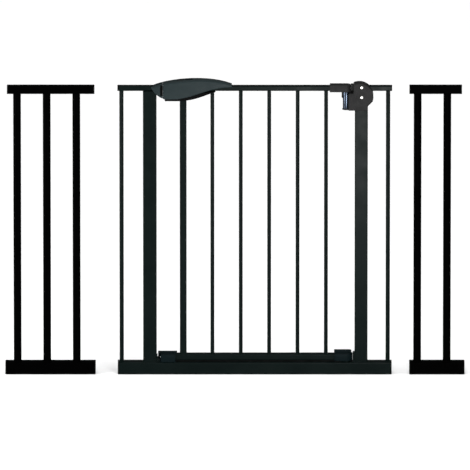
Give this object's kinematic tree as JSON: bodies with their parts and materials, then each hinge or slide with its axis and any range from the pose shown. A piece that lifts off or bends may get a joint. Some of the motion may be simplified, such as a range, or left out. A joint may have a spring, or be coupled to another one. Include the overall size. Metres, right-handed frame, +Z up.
{
  "type": "pressure-fit safety gate",
  "caption": "Pressure-fit metal child safety gate with a lift-and-swing walk-through door, leaf-shaped handle and two extension panels.",
  "frame": {"origin": "on the floor, under the middle of the whole kit's width and depth", "axes": "+Z up, +X along the gate from the latch side to the hinge side, +Y towards the back"},
  "size_m": [1.184, 0.0384, 0.7777],
  "materials": {
    "gate_paint": "semi-gloss black powder coat",
    "panel_paint": "satin black powder coat",
    "handle_plastic": "satin slate-grey moulded plastic",
    "housing_plastic": "fine-grained charcoal moulded plastic",
    "block_plastic": "satin dark slate moulded plastic",
    "dark_plastic": "matte black moulded plastic",
    "barrel_steel": "polished black nickel",
    "steel": "zinc plated",
    "nylon": "natural nylon"
  },
  "bodies": {
    "gate_frame": {"base_rail": "gate_paint", "base_end_plugs": "dark_plastic", "stub_end_plugs": "dark_plastic", "latch_post": "gate_paint", "hinge_post": "gate_paint", "left_stub_rail": "gate_paint", "right_stub_rail": "gate_paint", "left_outer_bar": "gate_paint", "right_outer_bar": "gate_paint", "keeper_front": "handle_plastic", "keeper_rear": "handle_plastic", "keeper_screw": "steel", "keeper_buffer": "dark_plastic", "bottom_catch": "gate_paint", "hinge_housing_front": "housing_plastic", "hinge_housing_rear": "housing_plastic", "housing_screws": "steel", "housing_nuts": "steel", "hinge_barrel": "barrel_steel", "lower_hinge_pin": "gate_paint", "lower_hinge_bracket": "gate_paint"},
    "turning_sleeve": {"hinge_sleeve": "steel"},
    "door": {"door_top_rail": "gate_paint", "door_bottom_rail": "gate_paint", "door_stile": "gate_paint", "door_bar_1": "gate_paint", "door_bar_2": "gate_paint", "door_bar_3": "gate_paint", "door_bar_4": "gate_paint", "door_bar_5": "gate_paint", "hinge_cap": "housing_plastic", "hinge_pin": "steel", "bottom_hinge_block": "block_plastic", "bottom_hinge_bush": "nylon", "bottom_latch_block": "block_plastic", "handle_front": "handle_plastic", "handle_rear": "handle_plastic", "handle_grip_insert": "dark_plastic", "handle_screws": "steel", "handle_buffer": "dark_plastic", "bolt_spring": "steel"},
    "lock": {"thumb_slider": "housing_plastic", "lock_bolt": "steel"},
    "left_panel": {"left_panel_top_rail": "panel_paint", "left_panel_base_rail": "panel_paint", "left_panel_bar_1": "panel_paint", "left_panel_bar_2": "panel_paint", "left_panel_bar_3": "panel_paint", "left_panel_top_plugs": "dark_plastic", "left_panel_base_plugs": "dark_plastic"},
    "right_panel": {"right_panel_top_rail": "panel_paint", "right_panel_base_rail": "panel_paint", "right_panel_bar_1": "panel_paint", "right_panel_bar_2": "panel_paint", "right_panel_top_plugs": "dark_plastic", "right_panel_base_plugs": "dark_plastic"}
  },
  "joints": [
    {"name": "door_swing", "type": "hinge", "parent": "gate_frame", "child": "turning_sleeve", "pos_m": [0.28625, 0, 0], "axis": [0, 0, 1], "range_deg": [-90, 90], "stiffness_Nm_per_rad": 0.3},
    {"name": "door_lift", "type": "slide", "parent": "turning_sleeve", "child": "door", "axis": [0, 0, 1], "range_m": [0, 0.01]},
    {"name": "lock_slide", "type": "slide", "parent": "door", "child": "lock", "axis": [1, 0, 0], "range_m": [0, 0.0108], "stiffness_N_per_m": 150, "springref_m": -0.006, "deforming": ["bolt_spring"]},
    {"name": "left_panel_dock", "type": "slide", "parent": "gate_frame", "child": "left_panel", "axis": [1, 0, 0], "range_m": [0, 0.0565]},
    {"name": "right_panel_dock", "type": "slide", "parent": "gate_frame", "child": "right_panel", "axis": [-1, 0, 0], "range_m": [0, 0.044]}
  ]
}
